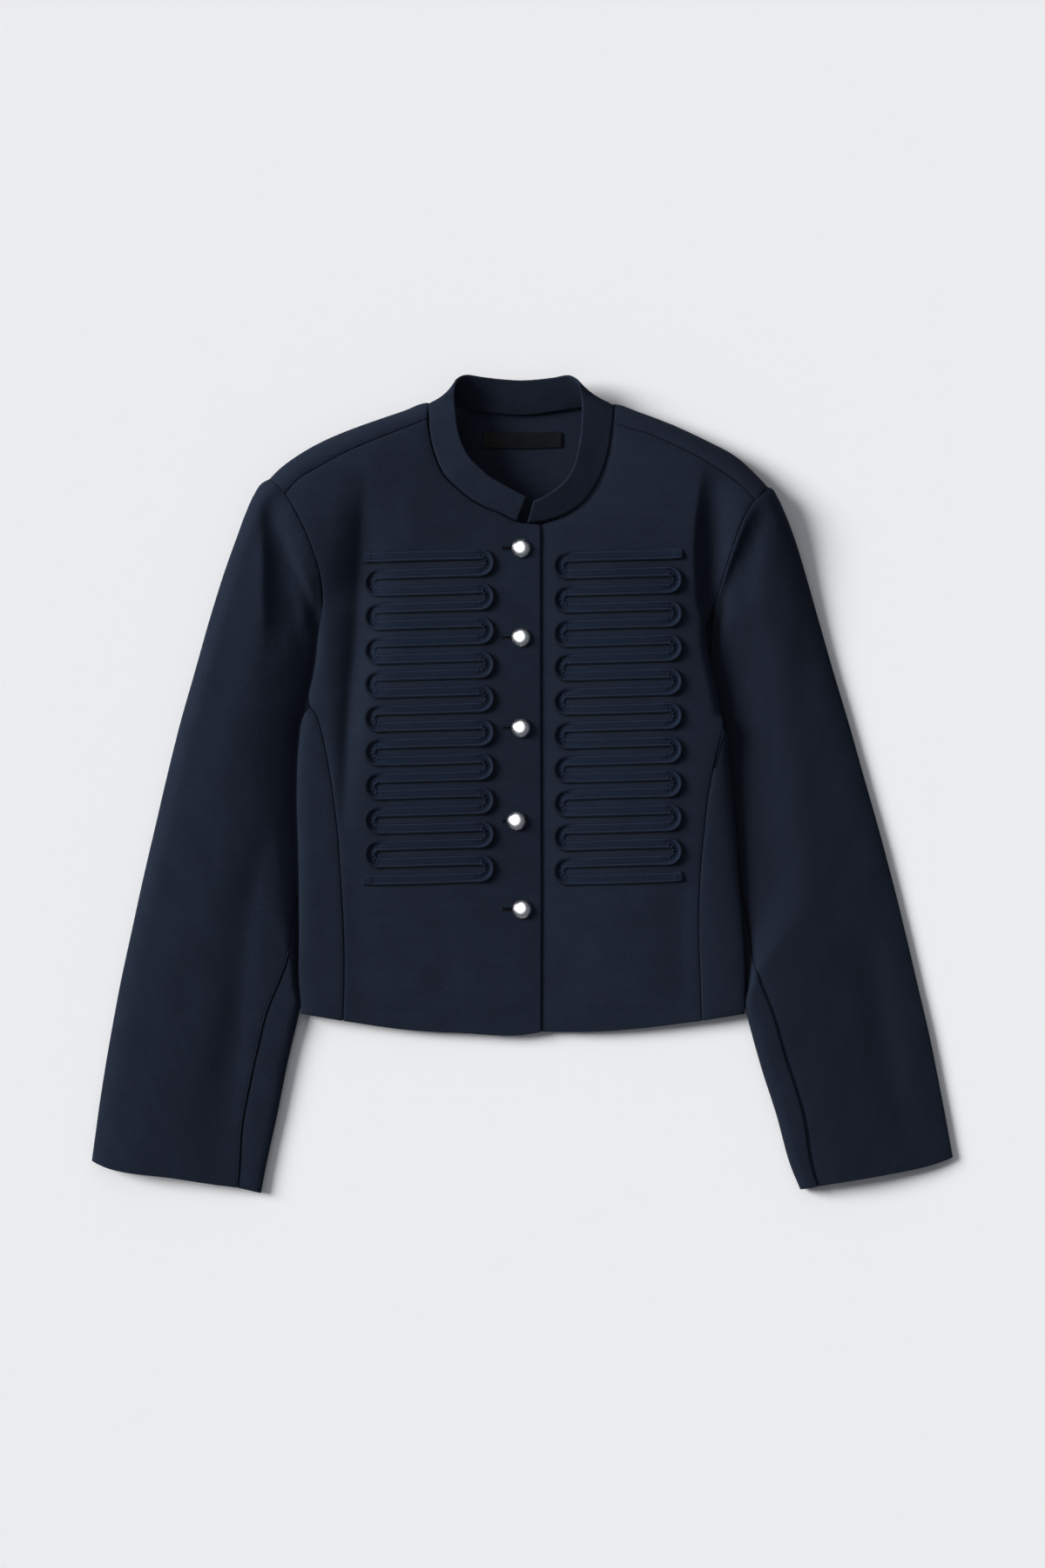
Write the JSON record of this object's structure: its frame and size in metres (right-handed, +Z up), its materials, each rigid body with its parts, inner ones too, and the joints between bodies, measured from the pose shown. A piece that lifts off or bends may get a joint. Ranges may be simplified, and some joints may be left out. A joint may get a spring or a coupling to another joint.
{
  "type": "cropped stand-collar blazer, laid flat",
  "caption": "Short navy twill jacket laid flat, with a stand collar, princess seams, two-piece sleeves, domed metal buttons and serpentine braid on both fronts",
  "frame": {"origin": "on the surface that the garment lies on, below the middle of its outline", "axes": "+X to the wearer's left, +Y from hem to collar, +Z up out of the fronts"},
  "size_m": [0.7408, 0.7019, 0.0436],
  "materials": {
    "navy_twill": "matt wool-look twill with a fine diagonal rib",
    "navy_braid": "flat woven tape, stitched down along its edges",
    "label_black": "plain woven label with no lettering",
    "satin_silver": "satin silver-coloured metal dome"
  },
  "bodies": {
    "root": {"back": "navy_twill", "front_right": "navy_twill", "front_left": "navy_twill", "side_front_right": "navy_twill", "side_front_left": "navy_twill", "top_sleeve_right": "navy_twill", "top_sleeve_left": "navy_twill", "under_sleeve_right": "navy_twill", "under_sleeve_left": "navy_twill", "collar": "navy_twill", "braid_right": "navy_braid", "braid_left": "navy_braid", "label": "label_black", "button_1": "satin_silver", "button_2": "satin_silver", "button_3": "satin_silver", "button_4": "satin_silver", "button_5": "satin_silver"}
  },
  "joints": []
}
